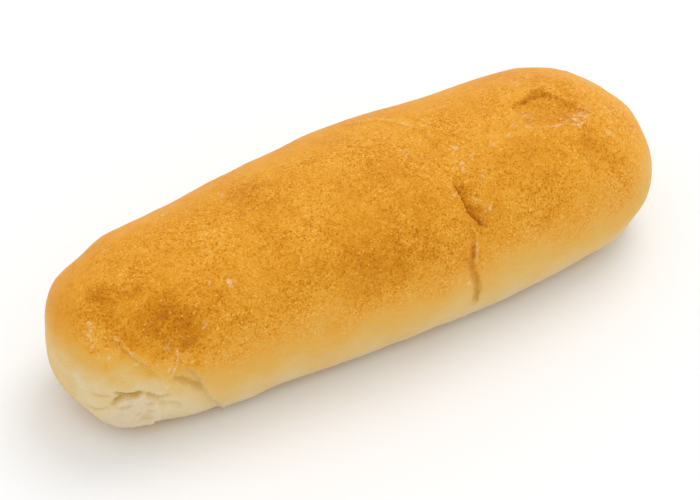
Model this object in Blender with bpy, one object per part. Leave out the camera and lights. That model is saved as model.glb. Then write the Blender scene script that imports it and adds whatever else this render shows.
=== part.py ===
"""A soft oblong bread roll, baked as one piece and lying on its own flat underside.

Metres, +Z up. The long axis lies along X, the split side faces -Y, and the origin is the
bottom centre of the roll's box, on the surface that it rests on.
"""

import math

import bmesh
import bpy
import numpy as np
from mathutils import Matrix, Vector

MM = 0.001

# Driving sizes of the baked roll.
LENGTH = 170 * MM
WIDTH = 59 * MM
HEIGHT = 47 * MM

# The dough spreads a little where it lies, so the widest line is low on the side.
WIDEST_LINE = 19.5 * MM
END_LIFT = 1.5 * MM

# Fullness along the roll: the place from -1 (left end) to +1 (right end), then the half
# width towards -Y, the half width towards +Y, and the height of the crown.
STATIONS = (
    (-1.00, 33.0 * MM, 28.5 * MM, 48.0 * MM),
    (-0.78, 28.0 * MM, 28.5 * MM, 47.5 * MM),
    (-0.50, 26.0 * MM, 27.5 * MM, 46.0 * MM),
    (-0.20, 26.5 * MM, 29.0 * MM, 47.0 * MM),
    (0.10, 28.0 * MM, 30.5 * MM, 47.5 * MM),
    (0.40, 28.5 * MM, 29.5 * MM, 46.5 * MM),
    (0.68, 29.5 * MM, 32.0 * MM, 47.0 * MM),
    (1.00, 33.5 * MM, 34.0 * MM, 45.5 * MM),
)

# Powers of the superellipses: 2 is an ellipse, and a higher power is fuller at its corners.
PLAN_POWER = 3.1
CROWN_POWER = 2.7
BELLY_POWER = 4.5
UPPER_SECTION_POWER = 2.2
LOWER_SECTION_POWER = 2.8

# The underside is rounded below the resting surface and then cut off flat by it.
BELLY_SINK = 1.2

# Mesh density: quads around the roll and rings along it.
AROUND = 56
ALONG = 60

# Hollows in the crust: place along X, angle around the roll from +Y over the top, half size
# along X, half size around the roll, and depth.
HOLLOWS = {
    "collapsed_blister": (57 * MM, math.radians(96), 12 * MM, 6.5 * MM, 1.6 * MM),
    "torn_end_patch": (-72 * MM, math.radians(190), 10 * MM, 6 * MM, 1.2 * MM),
}

# The split in the crust and the folds of the shaped dough are furrows, each along a few
# points of (place along X, angle around the roll), with a half width and a depth.
FURROWS = {
    "side_split": (
        ((24 * MM, math.radians(115)), (20.5 * MM, math.radians(135)), (23 * MM, math.radians(150)),
         (20 * MM, math.radians(163)), (21 * MM, math.radians(185))),
        3.2 * MM, 1.3 * MM,
    ),
    "dough_seam": (
        ((3 * MM, math.radians(62)), (13 * MM, math.radians(82)), (24 * MM, math.radians(115))),
        4.5 * MM, 0.6 * MM,
    ),
    "end_crease": (
        ((-77 * MM, math.radians(125)), (-71 * MM, math.radians(152)), (-58 * MM, math.radians(184))),
        3.5 * MM, 0.7 * MM,
    ),
}

# Mean radius that turns an angle around the roll into a distance over its crust.
GIRTH_RADIUS = 27 * MM

CRUST_COLOUR = (0.72, 0.36, 0.08, 1.0)
CRUST_ROUGHNESS = 0.62
CUTTER_MARGIN = 20 * MM


def clear_scene():
    for obj in list(bpy.data.objects):
        bpy.data.objects.remove(obj, do_unlink=True)


def crust_material():
    material = bpy.data.materials.new("golden_crust")
    material.use_nodes = True
    shader = material.node_tree.nodes["Principled BSDF"]
    shader.inputs["Base Color"].default_value = CRUST_COLOUR
    shader.inputs["Roughness"].default_value = CRUST_ROUGHNESS
    shader.inputs["Metallic"].default_value = 0.0
    material.diffuse_color = CRUST_COLOUR
    return material


def fullness(place):
    """Half width to -Y, half width to +Y and crown height at a place from -1 to +1."""
    stations = np.array(STATIONS)
    knots = stations[:, 0]
    slopes = np.gradient(stations[:, 1:], knots, axis=0)
    left = int(np.clip(np.searchsorted(knots, place) - 1, 0, len(knots) - 2))
    span = knots[left + 1] - knots[left]
    t = (place - knots[left]) / span
    start = (2 * t**3 - 3 * t**2 + 1) * stations[left, 1:] + (t**3 - 2 * t**2 + t) * span * slopes[left]
    end = (3 * t**2 - 2 * t**3) * stations[left + 1, 1:] + (t**3 - t**2) * span * slopes[left + 1]
    return start + end


def rounding(place, power):
    """How far an end has closed: 1 in the middle of the roll and 0 at its tips."""
    return max(0.0, 1.0 - abs(place) ** power) ** (1.0 / power)


def signed_power(value, exponent):
    return math.copysign(abs(value) ** exponent, value)


def mould(direction):
    """Takes a point of the unit ball to its place on the roll."""
    place = max(-1.0, min(1.0, direction.x))
    front, back, crown = fullness(place)
    angle = math.atan2(direction.z, direction.y)
    upper = math.sin(angle) >= 0
    power = UPPER_SECTION_POWER if upper else LOWER_SECTION_POWER
    across = signed_power(math.cos(angle), 2 / power)
    up = signed_power(math.sin(angle), 2 / power)
    half_width = (front if across < 0 else back) * rounding(place, PLAN_POWER)
    if upper:
        half_height = (crown - WIDEST_LINE) * rounding(place, CROWN_POWER)
    else:
        half_height = BELLY_SINK * WIDEST_LINE * rounding(place, BELLY_POWER)
    middle = WIDEST_LINE + END_LIFT * place**4
    return Vector((place * LENGTH / 2, half_width * across, middle + half_height * up))


def crust_angle(point):
    """Angle around the roll, from +Y over the top, from 0 to 360 degrees."""
    return math.atan2(point.z - WIDEST_LINE, point.y) % (2 * math.pi)


def hollow_depth(point, hollow):
    place, angle, half_along, half_around, depth = hollow
    along = (point.x - place) / half_along
    around = (crust_angle(point) - angle) * GIRTH_RADIUS / half_around
    return depth * math.exp(-(along**2 + around**2))


def furrow_depth(point, furrow):
    route, half_width, depth = furrow
    here = Vector((point.x, crust_angle(point) * GIRTH_RADIUS))
    corners = [Vector((place, angle * GIRTH_RADIUS)) for place, angle in route]
    nearest = min(distance_to_run(here, start, end) for start, end in zip(corners, corners[1:]))
    return depth * math.exp(-((nearest / half_width) ** 2))


def distance_to_run(here, start, end):
    run = end - start
    share = max(0.0, min(1.0, (here - start).dot(run) / run.length_squared))
    return (here - start - share * run).length


def press_in(mesh):
    """Sinks the hollows and the furrows into the crust, along its normals."""
    mesh.normal_update()
    for vert in mesh.verts:
        depth = sum(hollow_depth(vert.co, hollow) for hollow in HOLLOWS.values())
        depth += sum(furrow_depth(vert.co, furrow) for furrow in FURROWS.values())
        vert.co -= depth * vert.normal


def fit_to_size(mesh):
    """Stretches the roll to its driving sizes and centres it on the origin."""
    points = np.array([vert.co for vert in mesh.verts])
    low = points.min(axis=0)
    high = points.max(axis=0)
    middle = (low + high) / 2
    scale = (LENGTH / (high[0] - low[0]), WIDTH / (high[1] - low[1]), HEIGHT / high[2])
    for vert in mesh.verts:
        vert.co.x = (vert.co.x - middle[0]) * scale[0]
        vert.co.y = (vert.co.y - middle[1]) * scale[1]
        vert.co.z *= scale[2]


def object_from(mesh, name):
    data = bpy.data.meshes.new(name)
    mesh.to_mesh(data)
    mesh.free()
    obj = bpy.data.objects.new(name, data)
    bpy.context.scene.collection.objects.link(obj)
    return obj


def underside_cutter():
    """A block whose top face is the surface that the roll was baked on."""
    mesh = bmesh.new()
    size = (LENGTH + CUTTER_MARGIN, WIDTH + CUTTER_MARGIN, CUTTER_MARGIN)
    placing = Matrix.Translation((0, 0, -CUTTER_MARGIN / 2)) @ Matrix.Diagonal((*size, 1))
    bmesh.ops.create_cube(mesh, size=1.0, matrix=placing)
    cutter = object_from(mesh, "underside_cutter")
    cutter.hide_render = True
    cutter.display_type = "WIRE"
    return cutter


def bread_roll():
    mesh = bmesh.new()
    bmesh.ops.create_uvsphere(
        mesh, u_segments=AROUND, v_segments=ALONG, radius=1.0,
        matrix=Matrix.Rotation(math.radians(90), 4, "Y"),
    )
    for vert in mesh.verts:
        vert.co = mould(vert.co)
    press_in(mesh)
    fit_to_size(mesh)
    bmesh.ops.recalc_face_normals(mesh, faces=mesh.faces)
    roll = object_from(mesh, "bread_roll")
    roll.data.materials.append(crust_material())
    roll.data.shade_smooth()
    flat = roll.modifiers.new("flat_underside", "BOOLEAN")
    flat.operation = "DIFFERENCE"
    flat.solver = "EXACT"
    flat.object = underside_cutter()
    return roll


clear_scene()
bread_roll()
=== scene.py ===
"""The looks of the bread roll: its fine crust with the split, the collapsed blister, the dough
seam, the tucked left end with its torn patch, and the browning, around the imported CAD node.

Metres, +Z up, in the frame of the CAD model. A place on the crust is given as a distance along
X and an angle round the roll, in degrees from +Y over the top, so the front side is at 180.
"""

import math
from types import SimpleNamespace

import bpy
import numpy as np
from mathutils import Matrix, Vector, noise
from mathutils.bvhtree import BVHTree


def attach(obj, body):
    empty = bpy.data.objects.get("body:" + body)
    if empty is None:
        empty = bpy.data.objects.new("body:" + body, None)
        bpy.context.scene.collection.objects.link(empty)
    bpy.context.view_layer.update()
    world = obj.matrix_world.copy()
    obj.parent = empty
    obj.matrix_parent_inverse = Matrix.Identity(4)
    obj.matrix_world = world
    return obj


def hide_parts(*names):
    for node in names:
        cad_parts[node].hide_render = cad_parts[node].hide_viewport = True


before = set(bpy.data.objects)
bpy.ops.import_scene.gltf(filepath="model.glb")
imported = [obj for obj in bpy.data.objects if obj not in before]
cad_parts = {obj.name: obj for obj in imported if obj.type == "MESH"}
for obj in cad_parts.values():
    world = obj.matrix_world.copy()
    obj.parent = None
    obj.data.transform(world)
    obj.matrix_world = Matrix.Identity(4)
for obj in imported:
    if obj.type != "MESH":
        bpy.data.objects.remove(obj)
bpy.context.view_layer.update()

MM = 0.001
NODE = "bread_roll"

# The roll's axis, round which the angles are measured, and the half length of the stretch
# of it that the crust is spread out from. The shoulders fan out from its two ends, up to the
# lean where the end patches begin.
AXIS_HEIGHT = 19.5 * MM
AXIS_HALF = 55 * MM
PATCH_LEAN = math.pi / 4

# The crust's mesh: quads on each of the four sides round the roll, rings on the straight
# stretch and on the two shoulders, and how much closer the quads lie on the upper front.
SIDE_QUADS = 70
MIDDLE_RINGS = 226
LEFT_SHOULDER_RINGS = 48
RIGHT_SHOULDER_RINGS = 42
FRONT_CROWDING = 0.3
FRONT_TURN = math.radians(40)

# Rings lie closer at the split: place, reach and extra density. The density is summed up along
# the axis in this many steps.
CROWDED_RINGS = ((21 * MM, 5 * MM, 1.2),)
AXIS_STEPS = 2000

# The mesh is drawn together round the fine features: place in mm, angle, reach in mm and pull.
GATHERINGS = (
    (-70, 174, 17, 0.36),
    (21, 136, 10, 0.28),
    (21, 174, 12, 0.28),
    (57, 101, 12, 0.32),
)

# The CAD solid is faceted, so its facets are smoothed away before anything is added.
FACET_SMOOTHING_STEPS = 90

# The flat map that the crust is baked through has a chart for the rings and for each end
# patch: its lowest and highest place across the map, then up it.
BAKING_CHARTS = ((0.01, 0.75, 0.01, 0.99), (0.77, 0.99, 0.01, 0.49), (0.77, 0.99, 0.51, 0.99))


# ---------------------------------------------------------------- the bare crust


def ring_corners():
    """Directions (y, z) round the roll, evenly spaced in angle, on the edge of a square."""
    steps = np.arange(4 * SIDE_QUADS)
    angles = np.radians(steps * 90.0 / SIDE_QUADS - 45.0)
    reach = 1 / np.maximum(np.abs(np.cos(angles)), np.abs(np.sin(angles)))
    return np.stack([np.cos(angles) * reach, np.sin(angles) * reach], axis=1)


def ring_places():
    """Centre on the axis and lean towards the end, for each ring from left to right."""
    fine = np.linspace(-AXIS_HALF, AXIS_HALF, AXIS_STEPS)
    density = np.ones_like(fine)
    for place, reach, extra in CROWDED_RINGS:
        density += extra * np.exp(-(((fine - place) / reach) ** 2))
    total = np.cumsum(density)
    total = (total - total[0]) / (total[-1] - total[0])
    middle = np.interp(np.linspace(0, 1, MIDDLE_RINGS + 1), total, fine)
    left = -np.tan(np.linspace(PATCH_LEAN, 0, LEFT_SHOULDER_RINGS, endpoint=False))
    right = np.tan(np.linspace(PATCH_LEAN, 0, RIGHT_SHOULDER_RINGS, endpoint=False))[::-1]
    left_end = np.full(len(left), -AXIS_HALF)
    right_end = np.full(len(right), AXIS_HALF)
    centres = np.concatenate([left_end, middle, right_end])
    leans = np.concatenate([left, np.zeros(len(middle)), right])
    return centres, leans


def cap_corners():
    """Directions (y, z) inside the square patch that closes an end."""
    inner = np.tan((np.arange(1, SIDE_QUADS) * 2 / SIDE_QUADS - 1) * PATCH_LEAN)
    across, up = np.meshgrid(inner, inner, indexing="ij")
    return np.stack([across.ravel(), up.ravel()], axis=1)


def crowd_towards_front(directions):
    """Turns the directions a little round the axis, so that the hidden underside is coarser."""
    angle = np.arctan2(directions[:, 2], directions[:, 1])
    radius = np.hypot(directions[:, 1], directions[:, 2])
    angle += FRONT_CROWDING * np.cos(angle - FRONT_TURN) * np.minimum(1, radius) ** 2
    return np.stack([directions[:, 0], radius * np.cos(angle), radius * np.sin(angle)], axis=1)


def crust_rays():
    """Origin and direction of the ray that finds each point of the crust."""
    corners = ring_corners()
    centres, leans = ring_places()
    around = len(corners)
    centre = np.repeat(centres, around)
    lean = np.repeat(leans, around)
    side = np.tile(corners, (len(centres), 1))
    cap = cap_corners()
    inside = len(cap)
    centre = np.concatenate([centre, np.full(inside, -AXIS_HALF), np.full(inside, AXIS_HALF)])
    lean = np.concatenate([lean, np.full(inside, -1.0), np.full(inside, 1.0)])
    side = np.concatenate([side, cap, cap])
    directions = crowd_towards_front(np.column_stack([lean, side]))
    directions /= np.linalg.norm(directions, axis=1)[:, None]
    origins = np.column_stack([centre, np.zeros(len(centre)), np.full(len(centre), AXIS_HEIGHT)])
    return origins, directions, len(centres)


def cap_index(row, inner_start):
    """Point numbers of one end patch, as a square array whose border is the ring."""
    size = SIDE_QUADS
    numbers = np.empty((size + 1, size + 1), int)
    numbers[1:-1, 1:-1] = inner_start + np.arange((size - 1) ** 2).reshape(size - 1, size - 1)
    ring = row * 4 * size + np.arange(4 * size)
    numbers[size, :size] = ring[:size]
    numbers[size:0:-1, size] = ring[size:2 * size]
    numbers[0, size:0:-1] = ring[2 * size:3 * size]
    numbers[:size, 0] = ring[3 * size:]
    return numbers


def square_quads(numbers):
    """The quads of a square array of point numbers."""
    corners = [numbers[:-1, :-1], numbers[1:, :-1], numbers[1:, 1:], numbers[:-1, 1:]]
    return np.stack(corners, axis=-1).reshape(-1, 4)


def crust_grids(rings):
    """The square arrays of point numbers that make up the crust: the closed rings, then the left
    and the right end patch. Each comes with the step that makes its quads face out."""
    around = 4 * SIDE_QUADS
    grid = np.arange(rings * around).reshape(rings, around)
    closed = np.column_stack([grid, grid[:, 0]])
    inner = (SIDE_QUADS - 1) ** 2
    left = cap_index(0, rings * around)
    right = cap_index(rings - 1, rings * around + inner)
    return (closed, -1), (left, -1), (right, 1)


def crust_quads(grids):
    return np.concatenate([square_quads(numbers)[:, ::step] for numbers, step in grids])


def spread_out(steps):
    """Places from 0 to 1 whose gaps are as the steps given."""
    return np.concatenate([[0], np.cumsum(steps)]) / steps.sum()


def baking_map(points, grids):
    """A place on the flat map for each corner of each quad, with every chart spaced as its
    points lie on average on the crust."""
    corners = []
    for (numbers, step), (left, right, low, high) in zip(grids, BAKING_CHARTS):
        spots = points[numbers]
        down = spread_out(np.linalg.norm(np.diff(spots, axis=0), axis=2).mean(axis=1))
        across = spread_out(np.linalg.norm(np.diff(spots, axis=1), axis=2).mean(axis=0))
        u, v = np.meshgrid(left + (right - left) * across, low + (high - low) * down)
        flat = np.stack([u.ravel(), v.ravel()], axis=1)
        own = np.arange(numbers.size).reshape(numbers.shape)
        corners.append(flat[square_quads(own)[:, ::step]].reshape(-1, 2))
    return np.concatenate(corners)


def smoothed(values, edges, steps):
    """Averages each value with its neighbours, a number of times."""
    count = np.bincount(edges.ravel(), minlength=len(values))
    for _ in range(steps):
        total = np.bincount(edges[:, 0], weights=values[edges[:, 1]], minlength=len(values))
        total += np.bincount(edges[:, 1], weights=values[edges[:, 0]], minlength=len(values))
        values = (values + total / count) / 2
    return values


def point_normals(points, quads):
    across = points[quads[:, 2]] - points[quads[:, 0]]
    along = points[quads[:, 3]] - points[quads[:, 1]]
    face = np.cross(across, along)
    normals = np.zeros_like(points)
    for corner in quads.T:
        for axis, share in enumerate(face.T):
            normals[:, axis] += np.bincount(corner, weights=share, minlength=len(points))
    return normals / np.linalg.norm(normals, axis=1)[:, None]


def cast(tree, origins, directions):
    """How far the solid's surface lies from each origin."""
    rays = [(Vector(origin), Vector(way)) for origin, way in zip(origins, directions)]
    return np.array([tree.ray_cast(origin, way)[3] for origin, way in rays])


def gathered(tree, origins, directions):
    """The directions turned a little, so that the points lie closer round the fine features."""
    points = origins + directions * cast(tree, origins, directions)[:, None]
    for place, angle, reach, pull in GATHERINGS:
        offset = points - surface_spot(tree, place, angle)
        points -= offset * (pull * bell(np.linalg.norm(offset, axis=1), reach * MM))[:, None]
    turned = points - origins
    return turned / np.linalg.norm(turned, axis=1)[:, None]


def bare_crust():
    """The smooth outside of the CAD node as points, normals and quads."""
    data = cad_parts[NODE].data
    corners = [vertex.co for vertex in data.vertices]
    faces = [polygon.vertices for polygon in data.polygons]
    tree = BVHTree.FromPolygons(corners, faces)
    origins, directions, rings = crust_rays()
    directions = gathered(tree, origins, directions)
    grids = crust_grids(rings)
    quads = crust_quads(grids)
    edges = np.concatenate([quads[:, [0, 1]], quads[:, [1, 2]]])
    reach = smoothed(cast(tree, origins, directions), edges, FACET_SMOOTHING_STEPS)
    points = origins + directions * reach[:, None]
    points[:, 2] = np.maximum(points[:, 2], 0)
    crust = SimpleNamespace(points=points, quads=quads, grids=grids, tree=tree)
    measure(crust)
    return crust


def measure(crust):
    """Notes each point's normal, place along the roll, height and angle round it."""
    crust.normals = point_normals(crust.points, crust.quads)
    crust.place = crust.points[:, 0]
    crust.height = crust.points[:, 2]
    rise = crust.height - AXIS_HEIGHT
    crust.angle = np.degrees(np.arctan2(rise, crust.points[:, 1])) % 360


# ---------------------------------------------------------------- shaping tools

# How far each seed moves the noise along its three axes.
SEED_STEP = (7.31, 3.77, 5.19)

# How lines wander, as layers of noise: size in mm, strength and seed. Then how strongly a
# patchy tint comes and goes.
WANDER = ((2.2, 1.0, 11), (0.9, 0.6, 12))
PATCH_CONTRAST = 1.4

# Steps from one place of a route to the next, and the radius in mm that turns an angle round
# the roll into a distance over its crust.
ROUTE_STEPS = 12
GIRTH_RADIUS = 27.0

# A ragged spot is as good as gone past this many of its widths. The size of its ripples is
# the share given of its width.
BLOB_REACH = 3
BLOB_RIPPLES = 0.7
BLOB_SEED = 13


def step_up(value, low, high):
    """0 below low, 1 above high, and a smooth rise between them."""
    share = np.clip((value - low) / (high - low), 0, 1)
    return share * share * (3 - 2 * share)


def bell(value, width):
    return np.exp(-((value / width) ** 2))


def tapered(along, grown, fading):
    """Rises from 0 to 1 up to the first share of the way and falls back from the second on."""
    return step_up(along, 0.0, grown) * (1 - step_up(along, fading, 1.0))


def ripples(points, size, seed):
    """Smooth noise from about -1 to 1, with ripples of about the size given. The seed only
    moves it to another part of the noise, so that two kinds of unevenness differ."""
    shift = Vector([seed * step for step in SEED_STEP])
    spread = 1 / size
    return np.array([noise.noise(Vector(point) * spread + shift) for point in points])


def layered(points, layers):
    """The sum of ripples of several sizes: the size in mm, the strength and the seed of each."""
    return sum(strength * ripples(points, size * MM, seed) for size, strength, seed in layers)


def surface_spot(tree, place, angle):
    """The point of the bare crust at a place along the roll and an angle round it."""
    turn = math.radians(angle)
    origin = Vector((place * MM, 0, AXIS_HEIGHT))
    hit = tree.ray_cast(origin, Vector((0, math.cos(turn), math.sin(turn))))[0]
    return np.array(hit)


def smooth_route(tree, route):
    """A curve through the places and angles of a route on the bare crust."""
    knots = [surface_spot(tree, place, angle) for place, angle in route]
    knots = [2 * knots[0] - knots[1], *knots, 2 * knots[-1] - knots[-2]]
    curve = []
    for before, start, end, after in zip(knots, knots[1:], knots[2:], knots[3:]):
        for t in np.linspace(0, 1, ROUTE_STEPS, endpoint=False):
            curve.append(
                0.5 * (2 * start + (end - before) * t
                       + (2 * before - 5 * start + 4 * end - after) * t**2
                       + (3 * start - before - 3 * end + after) * t**3)
            )
    return np.array([*curve, knots[-2]])


def beside_route(crust, route, reach):
    """For the points near a route: which they are, how far they lie to its left (negative) or
    right, seen from outside along the route, and their share of the way along it."""
    curve = smooth_route(crust.tree, route)
    low = curve.min(axis=0) - reach
    high = curve.max(axis=0) + reach
    near = np.nonzero(((crust.points > low) & (crust.points < high)).all(axis=1))[0]
    spots = crust.points[near]
    starts = curve[:-1]
    runs = curve[1:] - starts
    lengths = np.linalg.norm(runs, axis=1)
    offset = spots[:, None] - starts[None]
    share = np.clip((offset * runs).sum(axis=2) / lengths**2, 0, 1)
    gap = offset - share[..., None] * runs
    distance = np.linalg.norm(gap, axis=2)
    nearest = distance.argmin(axis=1)
    rows = np.arange(len(near))
    turn = np.cross(runs[nearest], gap[rows, nearest])
    side = -np.sign((turn * crust.normals[near]).sum(axis=1))
    walked = np.concatenate([[0], np.cumsum(lengths)])
    along = (walked[nearest] + share[rows, nearest] * lengths[nearest]) / walked[-1]
    return near, distance[rows, nearest] * side, along


def wandering(crust, near, across, reach):
    """Distances beside a route, in mm, made uneven by up to about the reach given."""
    return across + reach * layered(crust.points[near], WANDER)


def patchy(points, size, seed, share):
    """Uneven strength from 0 to 1 that is about the share given on average."""
    return np.clip(share + PATCH_CONTRAST * ripples(points, size * MM, seed), 0, 1)


def blob(crust, place, angle, width, ragged=0.0):
    """A soft spot on the crust: 1 at its middle, nearly 0 past its width in mm, and as ragged
    as asked."""
    distance = np.linalg.norm(crust.points - surface_spot(crust.tree, place, angle), axis=1)
    distance /= width * MM
    if ragged:
        near = distance < BLOB_REACH
        size = BLOB_RIPPLES * width * MM
        distance[near] *= 1 + ragged * ripples(crust.points[near], size, BLOB_SEED)
    return bell(distance, 1)


def inside_outline(crust, outline):
    """Distance in from the edge of an outline on the crust, in mm, and negative outside it."""
    corners = np.array([(place, math.radians(angle) * GIRTH_RADIUS) for place, angle in outline])
    spots = np.column_stack([crust.place / MM, np.radians(crust.angle) * GIRTH_RADIUS])
    following = np.roll(corners, -1, axis=0)
    inside = np.zeros(len(spots), bool)
    distance = np.full(len(spots), np.inf)
    for start, end in zip(corners, following):
        crosses = (start[1] > spots[:, 1]) != (end[1] > spots[:, 1])
        slope = (end[0] - start[0]) / (end[1] - start[1]) if end[1] != start[1] else 0.0
        inside ^= crosses & (spots[:, 0] < start[0] + slope * (spots[:, 1] - start[1]))
        run = end - start
        share = np.clip(((spots - start) @ run) / (run @ run), 0, 1)
        gap = spots - start - share[:, None] * run
        distance = np.minimum(distance, np.linalg.norm(gap, axis=1))
    return np.where(inside, distance, -distance)


# ---------------------------------------------------------------- camera, light and floor

# Angles in degrees, lengths in metres, the lens and the sensor in mm and the light in watts.
CAMERA_TURN = -30.17
CAMERA_RISE = 44.0
CAMERA_DISTANCE = 0.8
CAMERA_LENS = 160.0
CAMERA_SENSOR = 36
CAMERA_AIM = Vector((-3.7 * MM, -5.7 * MM, 22 * MM))

KEY_LIGHT_PLACE = (0.8, 0.4, 1.5)
KEY_LIGHT_SIZE = 1.0
KEY_LIGHT_POWER = 8.5
SKY_STRENGTH = 0.95

FLOOR_CORNERS = ((-1, -1), (1, -1), (1, 1), (-1, 1))
FLOOR_HALF = 3.0

# The floor lies a hair below the roll's flat underside, so that the two don't coincide.
FLOOR_HEIGHT = -0.05 * MM
FLOOR_COLOUR = (0.9, 0.9, 0.9, 1)
FLOOR_ROUGHNESS = 0.9


def add_camera():
    turn = math.radians(CAMERA_TURN)
    rise = math.radians(CAMERA_RISE)
    back = Vector((
        math.sin(turn) * math.cos(rise),
        -math.cos(turn) * math.cos(rise),
        math.sin(rise),
    ))
    data = bpy.data.cameras.new("camera")
    data.lens = CAMERA_LENS
    data.sensor_width = CAMERA_SENSOR
    camera = bpy.data.objects.new("camera", data)
    camera.location = CAMERA_AIM + back * CAMERA_DISTANCE
    camera.rotation_euler = back.to_track_quat("Z", "Y").to_euler()
    bpy.context.scene.collection.objects.link(camera)
    bpy.context.scene.camera = camera


def add_key_light():
    """A soft light high up behind the roll, on its right, that faces the roll."""
    data = bpy.data.lights.new("key", "AREA")
    data.shape = "SQUARE"
    data.size = KEY_LIGHT_SIZE
    data.energy = KEY_LIGHT_POWER
    light = bpy.data.objects.new("key", data)
    light.location = KEY_LIGHT_PLACE
    light.rotation_euler = Vector(KEY_LIGHT_PLACE).to_track_quat("Z", "Y").to_euler()
    bpy.context.scene.collection.objects.link(light)


def add_world():
    world = bpy.data.worlds.new("studio")
    world.use_nodes = True
    sky = world.node_tree.nodes["Background"]
    sky.inputs["Color"].default_value = (1, 1, 1, 1)
    sky.inputs["Strength"].default_value = SKY_STRENGTH
    bpy.context.scene.world = world


def add_floor():
    mesh = bpy.data.meshes.new("floor")
    corners = [(x * FLOOR_HALF, y * FLOOR_HALF, FLOOR_HEIGHT) for x, y in FLOOR_CORNERS]
    mesh.from_pydata(corners, [], [(0, 1, 2, 3)])
    floor = bpy.data.objects.new("floor", mesh)
    material = bpy.data.materials.new("floor")
    material.use_nodes = True
    shader = material.node_tree.nodes["Principled BSDF"]
    shader.inputs["Base Color"].default_value = FLOOR_COLOUR
    shader.inputs["Roughness"].default_value = FLOOR_ROUGHNESS
    shader.inputs["Specular IOR Level"].default_value = 0.0
    mesh.materials.append(material)
    bpy.context.scene.collection.objects.link(floor)


# ---------------------------------------------------------------- the shape of the crust

# Unevenness as layers of noise: size in mm, strength, which is a height in mm for the dough
# and its skin, and seed.
DOUGH_SWELLS = ((36, 0.5, 1), (15, 0.26, 2), (6.5, 0.10, 3))
SKIN_SWELLS = ((2.4, 0.045, 4), (1.2, 0.03, 5))
BLISTER_EDGE = ((3.0, 1.2, 21), (1.2, 0.7, 22))
BLISTER_FLOOR = ((3.5, 0.5, 23), (1.3, 0.22, 24))
TORN_EDGE = ((2.6, 1.0, 31), (1.1, 0.6, 32))
TORN_CRUMB = ((4.2, 1.0, 33), (1.9, 0.6, 34), (1.0, 0.35, 35))

# The torn crumb lies in flat layers, so its ripples are finer up and down than sideways.
CRUMB_FINENESS = (0.8, 0.8, 1.7)

# Bumps and hollows of the outline: place in mm, angle in degrees, width and height in mm.
BULGES = (
    (83, 150, 14, 0.4), (82.5, 106, 6, 0.8), (80, 66, 4, 0.1), (72, 43, 5, 0.2), (63, 38, 7, 0.25),
    (80, 188, 5, 0.2), (72.4, 206, 4, -0.2), (30, 212, 5, 0.15), (-51, 214, 4, 0.4),
    (-84, 328, 6, 0.25), (-78, 219, 4, 0.1), (-68, 211, 3, -0.2), (-41, 215, 5, 0.2),
    (-2, 39, 5, 0.15), (62, 37, 3, 0.15), (81, 72, 3, -0.15), (8, 41, 10, 0.2), (-46, 40, 8, 0.2),
    (-60, 52, 8, 0.5), (-62.5, 37, 4, 0.42), (-69.5, 33, 3, -0.3), (-77, 34, 4.5, 0.45),
    (-79, 60, 8, 0.5), (-83.5, 290, 8, 0.8), (-83, 235, 4, -0.4), (-78, 221, 4.5, 0.6),
    (-66, 215, 5, -0.6), (-44, 217, 6, 0.65), (10, 213, 6, -0.45), (30, 213, 6, 0.25),
    (57, 211, 4, -0.3), (75, 203, 6, -0.25),
)

# Routes and outlines are lists of (place along the roll in mm, angle round it in degrees).
DOUGH_SEAM = (
    (5.8, 50.5), (9.4, 55.5), (13.3, 61.5), (16.2, 66), (17.9, 71), (19.5, 77), (21.9, 84.5),
    (22.8, 95.5), (23.5, 108),
)
UPPER_SPLIT = (
    (20.7, 123.5), (21.1, 129), (21.3, 136), (21.7, 141), (22.1, 145), (23.3, 149), (25.6, 155),
)
SPLIT_BRIDGE = ((20.9, 146), (21.4, 151), (21.6, 156), (21, 160))
LOWER_SPLIT = (
    (21.3, 156), (21.0, 161), (20.4, 165), (19.7, 170), (20.3, 175), (21.2, 181), (21.5, 190),
    (20.8, 202),
)

BLISTER = (
    (48.4, 95), (49.2, 89), (51.8, 86), (54.6, 85), (57.2, 81.5), (59.5, 79.5), (61.6, 86),
    (63.4, 94), (66.0, 101), (67.9, 108), (66.6, 113), (63.6, 117), (58.5, 115.5), (53, 112.5),
    (49.2, 110), (47.0, 105), (47.6, 100),
)

# Where the fallen skin was pulled away under the back edge of the blister; the groove's painted
# shade there stands for the shadow under that edge.
BLISTER_POCKET = ((50.6, 89), (52.4, 86.5), (54.4, 85), (56.4, 84.5), (58.2, 83), (60, 81))

TUCK_LINE = (
    (-76.2, 129), (-75, 136), (-73.8, 144), (-71.8, 153), (-70.2, 160), (-68, 169), (-66.3, 177),
)
TUCK_RIDGE = ((-62.6, 151), (-62.7, 160), (-63.9, 166), (-64.7, 170), (-65.9, 178))
TUCK_STRAP = (
    (-62, 164), (-59.2, 172), (-57.7, 179), (-56.8, 187), (-55.4, 196), (-53.4, 203),
    (-51.1, 212), (-49, 225),
)

# Creases and gaps round the tucked end: route, depth and half width in mm, and shade, which is
# the strength of the painted shade along the bottom.
GROOVES = (
    (((-65, 172), (-62.3, 177), (-60.1, 181), (-58.1, 187), (-56.4, 195)), 0.9, 0.75, 0.5),
    (((-79.4, 175), (-77, 178), (-75, 178.5), (-73.3, 178), (-71.5, 176.5)), 1.5, 0.8, 1.1),
    (((-76.4, 178.5), (-78.2, 183), (-79.6, 191)), 1.2, 0.65, 0.85),
    (((-72.4, 177), (-70.4, 182), (-68.6, 186), (-66.6, 186.5), (-64.5, 186)), 0.9, 0.65, 0.5),
    (((-69.6, 186), (-68.2, 190), (-66.5, 193), (-64.2, 196), (-61.6, 203)), 0.6, 0.9, 0.3),
    (((-83.4, 188), (-82.4, 184), (-80.5, 181), (-78.7, 182)), 0.5, 0.55, 0.25),
    (((-83.5, 217), (-81.7, 201), (-79.2, 192)), 0.5, 0.5, 0.3),
)
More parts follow.
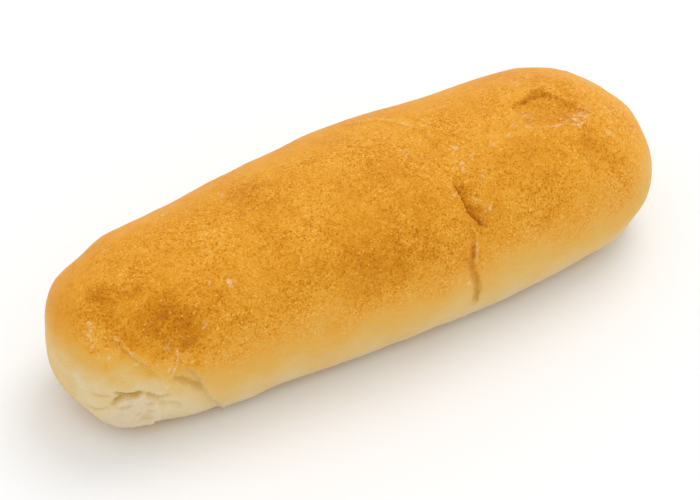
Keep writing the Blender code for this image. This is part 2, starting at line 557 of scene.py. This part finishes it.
TORN_PATCH = (
    (-78.4, 187), (-77, 182), (-75.2, 179), (-72.8, 178), (-70.7, 182), (-68.8, 189), (-67.2, 197),
    (-67, 205), (-69.5, 213), (-73, 221), (-76.7, 222), (-79.3, 215), (-79.8, 201),
)


# In the functions below, depths, heights and distances beside a line or in from an outline are
# in mm, angles are in degrees, and a tint or a shade is a strength from 0 to about 1.


def swell(crust):
    """The uneven rise of the dough, the fine unevenness of its skin, and its bulges."""
    crust.rise += layered(crust.points, DOUGH_SWELLS + SKIN_SWELLS)
    for place, angle, width, height in BULGES:
        crust.rise += height * blob(crust, place, angle, width)


def open_split(crust, route, depth, slope, power, side, shade, floor_shade):
    """A split with a sharp wall on one side, whose floor rises on the other: gently with a power
    of 1, and as a trough about as wide as the slope with a higher one."""
    near, across, along = beside_route(crust, route, reach=7 * MM)
    across = wandering(crust, near, across * side / MM, reach=0.4)
    taper = tapered(along, grown=0.12, fading=0.82)
    wall = bell(across, 0.25)
    gentle = np.exp(-np.abs(np.minimum(across, 0) / slope) ** power)
    crust.rise[near] -= depth * taper * np.where(across > 0, wall, gentle)
    # Painted shade, broken into streaks, along the wall of the split and over its floor.
    streaks = patchy(crust.points[near], size=1.3, seed=14, share=0.7)
    crust.dark[near] += shade * taper * bell(across + 0.15, 0.4) * streaks
    crust.dark[near] += floor_shade * taper * gentle * (across < 0)


def torn_lip(crust, route, side, strength):
    """The thin torn edge of skin at the start of a split, raised along its wall, with a painted
    highlight on it that makes it paler and less brown.
    """
    near, across, along = beside_route(crust, route, reach=3 * MM)
    across = wandering(crust, near, across * side / MM, reach=0.4)
    start = step_up(along, 0.02, 0.08) * (1 - step_up(along, 0.24, 0.34))
    edge = start * bell(across - 0.35, 0.2)
    crust.rise[near] += 0.2 * edge
    # Painted highlight: the lip is made paler and less brown.
    crust.pale[near] += strength * edge
    crust.bake[near] -= strength * edge


def fold_line(crust, route, drop, width, ridge, side, tint, shade, fading=0.8):
    """A fold of the dough: a low pale ridge whose one side drops and then eases back. It grows
    faint at about the share of its way given as fading."""
    near, across, along = beside_route(crust, route, reach=10 * MM)
    across = wandering(crust, near, across * side / MM, reach=0.25)
    taper = tapered(along, grown=0.12, fading=0.8)
    crease = np.where(across > 0, across / width * np.exp(1 - across / width), 0)
    crust.rise[near] += taper * (ridge * bell(across, 0.4) - drop * crease)
    taper *= 1 - 0.8 * step_up(along, fading - 0.2, fading + 0.2)
    line = taper**2 * bell(across, 0.3)
    line *= patchy(crust.points[near], size=1.6, seed=15, share=0.8)
    crust.pale[near] += 0.35 * tint * line
    crust.bake[near] -= 0.8 * tint * line
    # Painted shade in the crease beside the ridge.
    crust.dark[near] += shade * taper * bell(across - 0.6, 0.35)


def groove(crust, route, depth, width, shade):
    """A crease in the dough, rounded, with painted shade along its bottom."""
    near, across, along = beside_route(crust, route, reach=5 * MM)
    across = wandering(crust, near, across / MM, reach=0.5)
    taper = tapered(along, grown=0.25, fading=0.7)
    crust.rise[near] -= depth * taper * bell(across, width)
    crust.dark[near] += shade * taper * bell(across, 0.85 * width)


def sink_blister(crust):
    """A blister that fell in: a steep back edge streaked with painted shadow, an uneven floor and
    a broken rim, whose front is painted pale with flakes of skin and a painted highlight.
    """
    points = crust.points
    depth_in = inside_outline(crust, BLISTER) + layered(points, BLISTER_EDGE)
    back = 1 - step_up(crust.angle, 90, 108)
    floor = step_up(depth_in, -0.2, 3.4 - 2.6 * back)
    crust.rise -= floor * (0.6 + 0.4 * back + layered(points, BLISTER_FLOOR))
    rim = bell(depth_in + 0.2, 0.32) * step_up(crust.angle, 98, 112)
    crust.rise += 0.15 * rim
    # The front rim is painted pale: flakes of skin and a painted highlight where it faces the
    # light.
    crust.pale += 0.6 * rim * patchy(points, size=1.3, seed=25, share=0.45)
    # Painted shadow under the steep back edge.
    back_edge_shadow = bell(depth_in - 0.3, 0.5) * back
    crust.dark += 0.4 * back_edge_shadow * patchy(points, size=1.3, seed=26, share=0.6)
    crust.bake += 0.10 * step_up(depth_in, 0, 2)
    groove(crust, BLISTER_POCKET, depth=0.6, width=0.5, shade=1.0)


def tear_end(crust):
    """The torn patch low on the left end, where rough crumb shows below an edge of crust."""
    depth_in = inside_outline(crust, TORN_PATCH) + layered(crust.points, TORN_EDGE)
    patch = step_up(depth_in, -0.3, 0.8)
    torn = layered(crust.points * CRUMB_FINENESS, TORN_CRUMB)
    crust.rise += patch * (0.45 + 0.5 * torn)
    crust.crumb += patch
    # Painted shade in the low places of the torn crumb.
    crust.dark += 0.4 * patch * step_up(-torn, 0.15, 0.6)
    flap = bell(depth_in - 0.4, 0.5) * (1 - step_up(crust.angle, 190, 202))
    crust.rise += 0.25 * flap
    # The flap's edge is whiter crumb; the crumb's raised ridges get painted light.
    crust.pale += 0.35 * np.clip(flap + patch * step_up(torn, 0.3, 0.7), 0, 1)


def split_side(crust):
    """The seam over the crown, and the split that runs on from it down the front side."""
    fold_line(crust, DOUGH_SEAM, drop=0.28, width=2.0, ridge=0.16, side=1, tint=0.6, shade=0.16)
    open_split(
        crust, UPPER_SPLIT, depth=1.4, slope=1.5, power=1, side=1, shade=1.0, floor_shade=0.35,
    )
    fold_line(crust, SPLIT_BRIDGE, drop=0.2, width=1.0, ridge=0.08, side=1, tint=0.15, shade=0.15)
    open_split(
        crust, LOWER_SPLIT, depth=0.8, slope=1.9, power=4, side=-1, shade=0.3, floor_shade=0.55,
    )
    torn_lip(crust, LOWER_SPLIT, side=-1, strength=0.45)


def tuck_end(crust):
    """The folds and creases of the dough where it was tucked in at the left end."""
    fold_line(
        crust, TUCK_LINE, drop=0.5, width=2.2, ridge=0.35, side=1, tint=1.0, shade=0.5, fading=0.5,
    )
    fold_line(crust, TUCK_RIDGE, drop=0.35, width=1.6, ridge=0.3, side=-1, tint=0.6, shade=0.1)
    fold_line(crust, TUCK_STRAP, drop=0.8, width=1.3, ridge=0.5, side=1, tint=0.35, shade=0.2)
    for route, depth, width, shade in GROOVES:
        groove(crust, route, depth, width, shade)


def shape_crust(crust):
    """Moves the points out and in along their normals, and notes the tints that go with it."""
    crust.rise = np.zeros(len(crust.points))
    swell(crust)
    split_side(crust)
    sink_blister(crust)
    tuck_end(crust)
    tear_end(crust)
    crust.points += crust.normals * (crust.rise * MM)[:, None]
    crust.points[:, 2] = np.maximum(crust.points[:, 2], 0)


# ---------------------------------------------------------------- the baking of the crust

# The crust is pale cream below one height and golden above another, both in mm. Both heights
# are more at the left end, which comes in between the two places given.
PALE_BELOW = 3
BROWN_ABOVE = 32
PALE_RISE_LEFT = 16
BROWN_RISE_LEFT = 2
LEFT_END = (-74, -52)
BROWNING_EDGE = ((16, 3.0, 41), (5, 1.5, 42))

# The right end browned less: how much less, and over which places and heights it comes in.
PALER_RIGHT = 0.24
RIGHT_END = (66, 82)
RIGHT_HEIGHTS = (5, 25)

# Darker patches, or lighter where the strength is negative, and then paler flakes of skin:
# place, angle, width in mm and strength.
BROWN_PATCHES = (
    (-60, 143, 6, 0.34), (-57, 150, 3.5, 0.22), (-64, 131, 5, 0.26), (-73.5, 103, 4.5, 0.30),
    (-60, 106, 5, 0.14), (-75, 138, 4, 0.22), (-70, 143, 5, 0.14), (0, 152, 14, 0.14),
    (-10, 143, 8, 0.10), (-28, 83, 6, 0.14), (4, 114, 6, 0.12), (42.3, 162, 1.4, 0.4),
    (62, 135, 4, 0.26), (44, 119, 4, 0.16), (58, 98, 5, 0.12), (17, 165, 3, 0.16),
    (22.5, 131, 2.5, 0.25), (22.5, 143, 2.5, 0.30), (-83.8, 270, 12, 0.28), (-84, 60, 8, 0.14),
    (-80, 183, 5, 0.12), (-70, 166, 4.5, -0.18), (-60, 172, 4, -0.14), (-83, 172, 4, 0.08),
    (68, 192, 7, 0.06), (33, 166, 5, 0.05), (-15, 200, 8, 0.10), (-30, 184, 6, -0.08),
    (60, 195, 9, 0.10), (79, 188, 7, 0.22), (54, 186, 6, 0.06), (-79, 74, 6, -0.06),
    (-76, 157, 7, -0.12), (64, 158, 8, -0.06), (70, 203, 7, -0.1), (-59, 92, 6, -0.06),
    (-84.7, 180, 4, 0.14), (-84.5, 217, 4, -0.1),
)
PALE_FLAKES = (
    (-44.2, 129.5, 0.75, 1.0), (-48.7, 125, 0.5, 0.8), (-53.8, 146, 0.6, 0.7),
    (-78.6, 118, 0.5, 1.0), (-79.4, 122, 0.5, 0.8), (-79.8, 126, 0.5, 0.8), (-80.4, 134, 0.6, 0.8),
    (-80.1, 143, 0.65, 1.0), (-78.2, 146, 0.55, 1.0), (-72.7, 156, 0.5, 0.9),
    (-64.6, 151, 0.5, 0.8), (-65.1, 166, 0.45, 1.0), (-66.1, 178, 0.5, 1.0), (-49.1, 182, 0.4, 0.5),
    (27.2, 144, 0.9, 1.0), (24.5, 137, 0.7, 0.8), (28.7, 127, 0.8, 0.5), (25.4, 119, 0.6, 0.7),
    (25.9, 116, 0.7, 0.9), (29, 114, 0.7, 0.5), (26.3, 106, 0.8, 0.7), (19.4, 131, 0.5, 0.9),
    (14.3, 99, 0.55, 0.7), (13, 95, 0.5, 0.6), (15.4, 103, 0.5, 0.5), (12.1, 82, 0.5, 0.8),
    (11.1, 75, 0.5, 0.6), (25.3, 83, 0.5, 0.6), (-33, 71, 0.7, 0.5), (-48, 61, 0.8, 0.5),
    (-66, 66, 0.6, 0.4), (51, 98, 0.9, 1.0), (44.6, 105, 0.5, 0.7), (41.9, 110, 0.5, 0.7),
    (50.1, 78, 0.6, 0.5), (54.8, 68, 0.9, 0.6), (59.8, 63, 0.5, 0.5), (73.1, 109, 0.9, 0.6),
    (69.1, 131, 1.0, 0.5), (36, 111, 0.6, 0.5), (17.8, 180, 0.6, 0.9), (60, 112, 1.0, 0.6),
    (62.5, 112.5, 1.4, 0.8), (65, 110.5, 1.1, 0.7), (20.4, 158, 0.35, 0.8), (-20, 20, 0.8, 0.6),
    (35, 28, 0.6, 0.6), (-48, 12, 0.5, 0.6),
)
FLAKE_SIZE = 0.8
FLAKE_PALENESS = 0.65

# The side of the crown that browned most lies this way: the grain fades away from it.
BROWNEST_WAY = np.array((0, math.cos(math.radians(128)), math.sin(math.radians(128))))


def rising_brown(crust):
    """How brown the crust is by its height: 0 near the foot and 1 on the crown."""
    height = crust.height / MM
    place = crust.place / MM
    left = 1 - step_up(place, *LEFT_END)
    pale_below = PALE_BELOW + PALE_RISE_LEFT * left
    brown_above = BROWN_ABOVE + BROWN_RISE_LEFT * left
    uneven_height = height + layered(crust.points, BROWNING_EDGE)
    bake = np.clip((uneven_height - pale_below) / (brown_above - pale_below), 0, 1)
    return bake - PALER_RIGHT * step_up(place, *RIGHT_END) * step_up(height, *RIGHT_HEIGHTS)


def browning(crust):
    """How brown each point is: 0 is pale cream, 1 the golden crown and 1.5 the darkest spots."""
    points = crust.points
    bake = rising_brown(crust)
    bake += 0.12 * ripples(points, 11 * MM, 43)
    bake += 0.10 * ripples(points, 4 * MM, 44) * (0.3 + 0.7 * step_up(bake, 0.5, 0.9))
    underside = step_up(-crust.normals[:, 2], 0.75, 0.97)
    bake += underside * (0.55 + 0.12 * ripples(points, 9 * MM, 45))
    for place, angle, width, strength in BROWN_PATCHES:
        bake += strength * blob(crust, place, angle, width, ragged=0.8)
    return bake


def grain_strength(crust, bake):
    """How strong the stipple is: it shows on the browned crust, most on its brownest side, and
    in patches on the back."""
    towards = step_up(crust.normals @ BROWNEST_WAY, 0.35, 0.72)
    back = step_up(crust.normals[:, 1], 0.78, 0.95)
    back *= patchy(crust.points, size=20, seed=47, share=0.6)
    uneven = 0.9 + 0.4 * ripples(crust.points, 9 * MM, 46)
    return step_up(bake, 0.42, 0.85) * (0.2 + 0.8 * towards + 0.7 * back) * uneven


def bake_crust(crust):
    """Notes the browning of each point, its pale flakes and its grain."""
    bake = browning(crust)
    crust.bake += bake
    for place, angle, width, strength in PALE_FLAKES:
        flake = blob(crust, place, angle, FLAKE_SIZE * width, ragged=1.4)
        crust.pale += FLAKE_PALENESS * strength * step_up(flake, 0.2, 0.7)
    crust.grain += grain_strength(crust, bake)


def new_tints(crust):
    """Starts every tint at nothing, all over the crust."""
    for name in TINTS:
        setattr(crust, name, np.zeros(len(crust.points)))


# ---------------------------------------------------------------- the crust's material


def colour(red, green, blue):
    """A screen colour from 0 to 255 as the linear colour that a shader takes."""
    share = np.array((red, green, blue)) / 255
    linear = np.where(share <= 0.04045, share / 12.92, ((share + 0.055) / 1.055) ** 2.4)
    return (*linear.tolist(), 1.0)


# What each point of the crust carries: how brown it is, how strong its brown and pale grains are,
# and how much pale skin and painted highlight, painted shade in creases and hollows, and bare
# crumb show there. None goes past MOST_TINT.
TINTS = ("bake", "grain", "pale", "dark", "crumb")
MOST_TINT = 2

# Colours of the crust by how brown it is baked, from 0 to BROWNEST.
BROWNEST = 1.8
BAKING_COLOURS = (
    (0.0, colour(225, 206, 165)),
    (0.25, colour(225, 191, 125)),
    (0.5, colour(226, 177, 84)),
    (0.75, colour(227, 164, 58)),
    (1.0, colour(224, 153, 38)),
    (1.3, colour(205, 130, 16)),
    (1.8, colour(171, 95, 3)),
)
GRAIN_GAIN = (1.21, 1.42, 3.2, 1.0)
SPARK_COLOUR = colour(246, 192, 104)
# Pale skin and flakes, also used as painted highlight on lips, rims and crumb ridges.
PALE_SKIN_AND_PAINTED_LIGHT_COLOUR = colour(245, 208, 158)
CRUMB_COLOUR = colour(223, 203, 169)
# CREASE_SHADE is painted shade: weighted by the dark tint, it darkens the colour by multiplying, in
# creases, splits and hollows.
CREASE_SHADE = (0.71, 0.58, 0.12, 1.0)

# The skin's shader. A little sheen softens it at grazing angles.
ROUGHNESS = (0.5, 0.68)
SPECULAR_LEVEL = 0.1
SHEEN_WEIGHT = 0.09
SHEEN_ROUGHNESS = 0.4
BUMP_STRENGTH = 0.6
BUMP_HEIGHT = 0.12 * MM

# The sockets of a Mix node that mixes colours.
MIX_SHARE = 0
MIX_FIRST = 6
MIX_SECOND = 7
MIX_COLOUR = 2


class Nodes:
    """Short ways to add the nodes of a material."""

    def __init__(self, material):
        material.use_nodes = True
        self.tree = material.node_tree
        self.shader = self.tree.nodes["Principled BSDF"]
        self.spot = self.add("ShaderNodeTexCoord").outputs["Object"]

    def add(self, kind, **settings):
        node = self.tree.nodes.new(kind)
        for name, value in settings.items():
            setattr(node, name, value)
        return node

    def join(self, value, socket):
        if isinstance(value, bpy.types.NodeSocket):
            self.tree.links.new(value, socket)
        else:
            socket.default_value = value

    def tint(self, name):
        return self.add("ShaderNodeAttribute", attribute_name=name).outputs["Fac"]

    def noise(self, size, detail, roughness=0.5):
        """Noise from 0 to 1 with grains of about the size given, in mm."""
        node = self.add("ShaderNodeTexNoise")
        self.join(self.spot, node.inputs["Vector"])
        node.inputs["Scale"].default_value = 1 / (size * MM)
        node.inputs["Detail"].default_value = detail
        node.inputs["Roughness"].default_value = roughness
        return node.outputs["Fac"]

    def cells(self, size):
        """Distance from the middles of scattered dots about the size given apart, in mm."""
        node = self.add("ShaderNodeTexVoronoi")
        self.join(self.spot, node.inputs["Vector"])
        node.inputs["Scale"].default_value = 1 / (size * MM)
        return node.outputs["Distance"]

    def span(self, value, low, high, start=0.0, end=1.0):
        """Turns the stretch from low to high smoothly into the one from start to end."""
        node = self.add("ShaderNodeMapRange", interpolation_type="SMOOTHSTEP")
        limits = {"From Min": low, "From Max": high, "To Min": start, "To Max": end}
        for name, number in limits.items():
            node.inputs[name].default_value = number
        self.join(value, node.inputs["Value"])
        return node.outputs["Result"]

    def combine(self, operation, *values):
        """The values added, multiplied or divided one after another."""
        total = values[0]
        for value in values[1:]:
            node = self.add("ShaderNodeMath", operation=operation)
            self.join(total, node.inputs[0])
            self.join(value, node.inputs[1])
            total = node.outputs["Value"]
        return total

    def ramp(self, value, stops):
        node = self.add("ShaderNodeValToRGB")
        self.join(value, node.inputs["Fac"])
        stop_list = node.color_ramp.elements
        while len(stop_list) < len(stops):
            stop_list.new(0.5)
        for stop, (position, shade) in zip(stop_list, stops):
            stop.position = position
            stop.color = shade
        return node.outputs["Color"]

    def mix(self, share, first, second, blend="MIX"):
        node = self.add("ShaderNodeMix", data_type="RGBA", blend_type=blend)
        self.join(share, node.inputs[MIX_SHARE])
        self.join(first, node.inputs[MIX_FIRST])
        self.join(second, node.inputs[MIX_SECOND])
        return node.outputs[MIX_COLOUR]


def crust_colour(nodes, brown, pale, sparks):
    """The baked colour with its brown and pale grains, pale flakes and painted highlights, crumb,
    and painted shade in creases and hollows.
    """
    amount = nodes.tint("grain")
    baked = nodes.combine("ADD", nodes.tint("bake"), nodes.combine("MULTIPLY", amount, brown))
    stops = [(place / BROWNEST, shade) for place, shade in BAKING_COLOURS]
    shade = nodes.ramp(nodes.combine("DIVIDE", baked, BROWNEST), stops)
    shade = nodes.mix(nodes.combine("MULTIPLY", amount, pale), shade, GRAIN_GAIN, blend="MULTIPLY")
    shade = nodes.mix(nodes.combine("MULTIPLY", amount, sparks), shade, SPARK_COLOUR)
    shade = nodes.mix(nodes.tint("crumb"), shade, CRUMB_COLOUR)
    shade = nodes.mix(nodes.tint("pale"), shade, PALE_SKIN_AND_PAINTED_LIGHT_COLOUR)
    return nodes.mix(nodes.tint("dark"), shade, CREASE_SHADE, blend="MULTIPLY")


def crust_material():
    """The skin: slow mottling, dark and pale grains, scattered light sparks and a fine bump."""
    material = bpy.data.materials.new("golden_crust")
    nodes = Nodes(material)
    mottled = nodes.span(nodes.noise(1.5, 2), 0.35, 0.65, start=-0.08, end=0.09)
    brown = nodes.span(nodes.noise(0.62, 2, 0.6), 0.50, 0.66, end=0.42)
    fine_brown = nodes.span(nodes.noise(0.37, 1), 0.54, 0.72, end=0.30)
    pale = nodes.span(nodes.noise(0.53, 2, 0.6), 0.50, 0.66)
    sparks = nodes.span(nodes.cells(1.9), 0.11, 0.19, start=0.5, end=0.0)
    brown = nodes.combine("ADD", mottled, brown, fine_brown)
    nodes.join(crust_colour(nodes, brown, pale, sparks), nodes.shader.inputs["Base Color"])
    grain = nodes.combine("ADD", nodes.noise(0.7, 3, 0.6), nodes.noise(2.2, 2), pale)
    bump = nodes.add("ShaderNodeBump")
    bump.inputs["Strength"].default_value = BUMP_STRENGTH
    bump.inputs["Distance"].default_value = BUMP_HEIGHT
    nodes.join(grain, bump.inputs["Height"])
    nodes.join(bump.outputs["Normal"], nodes.shader.inputs["Normal"])
    roughness = nodes.span(nodes.noise(1.5, 2), 0.3, 0.7, *ROUGHNESS)
    nodes.join(roughness, nodes.shader.inputs["Roughness"])
    nodes.shader.inputs["Specular IOR Level"].default_value = SPECULAR_LEVEL
    nodes.shader.inputs["Sheen Weight"].default_value = SHEEN_WEIGHT
    nodes.shader.inputs["Sheen Roughness"].default_value = SHEEN_ROUGHNESS
    return material


# ---------------------------------------------------------------- the piece


def add_tint(mesh, name, values):
    layer = mesh.attributes.new(name, "FLOAT", "POINT")
    layer.data.foreach_set("value", np.clip(values, 0, MOST_TINT).astype(np.float32))


def baked_roll():
    """The visible roll: one mesh with its tints and its flat map for baking."""
    crust = bare_crust()
    new_tints(crust)
    shape_crust(crust)
    bake_crust(crust)
    mesh = bpy.data.meshes.new("baked_crust")
    mesh.from_pydata(crust.points.tolist(), [], crust.quads.tolist())
    mesh.shade_smooth()
    layer = mesh.uv_layers.new(name="OFBake")
    layer.data.foreach_set("uv", baking_map(crust.points, crust.grids).ravel())
    for name in TINTS:
        add_tint(mesh, name, getattr(crust, name))
    roll = bpy.data.objects.new("baked_crust", mesh)
    bpy.context.scene.collection.objects.link(roll)
    mesh.materials.append(crust_material())
    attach(roll, "root")
    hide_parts(NODE)


baked_roll()
add_camera()
add_world()
add_key_light()
add_floor()
bpy.context.scene.view_settings.view_transform = "Standard"
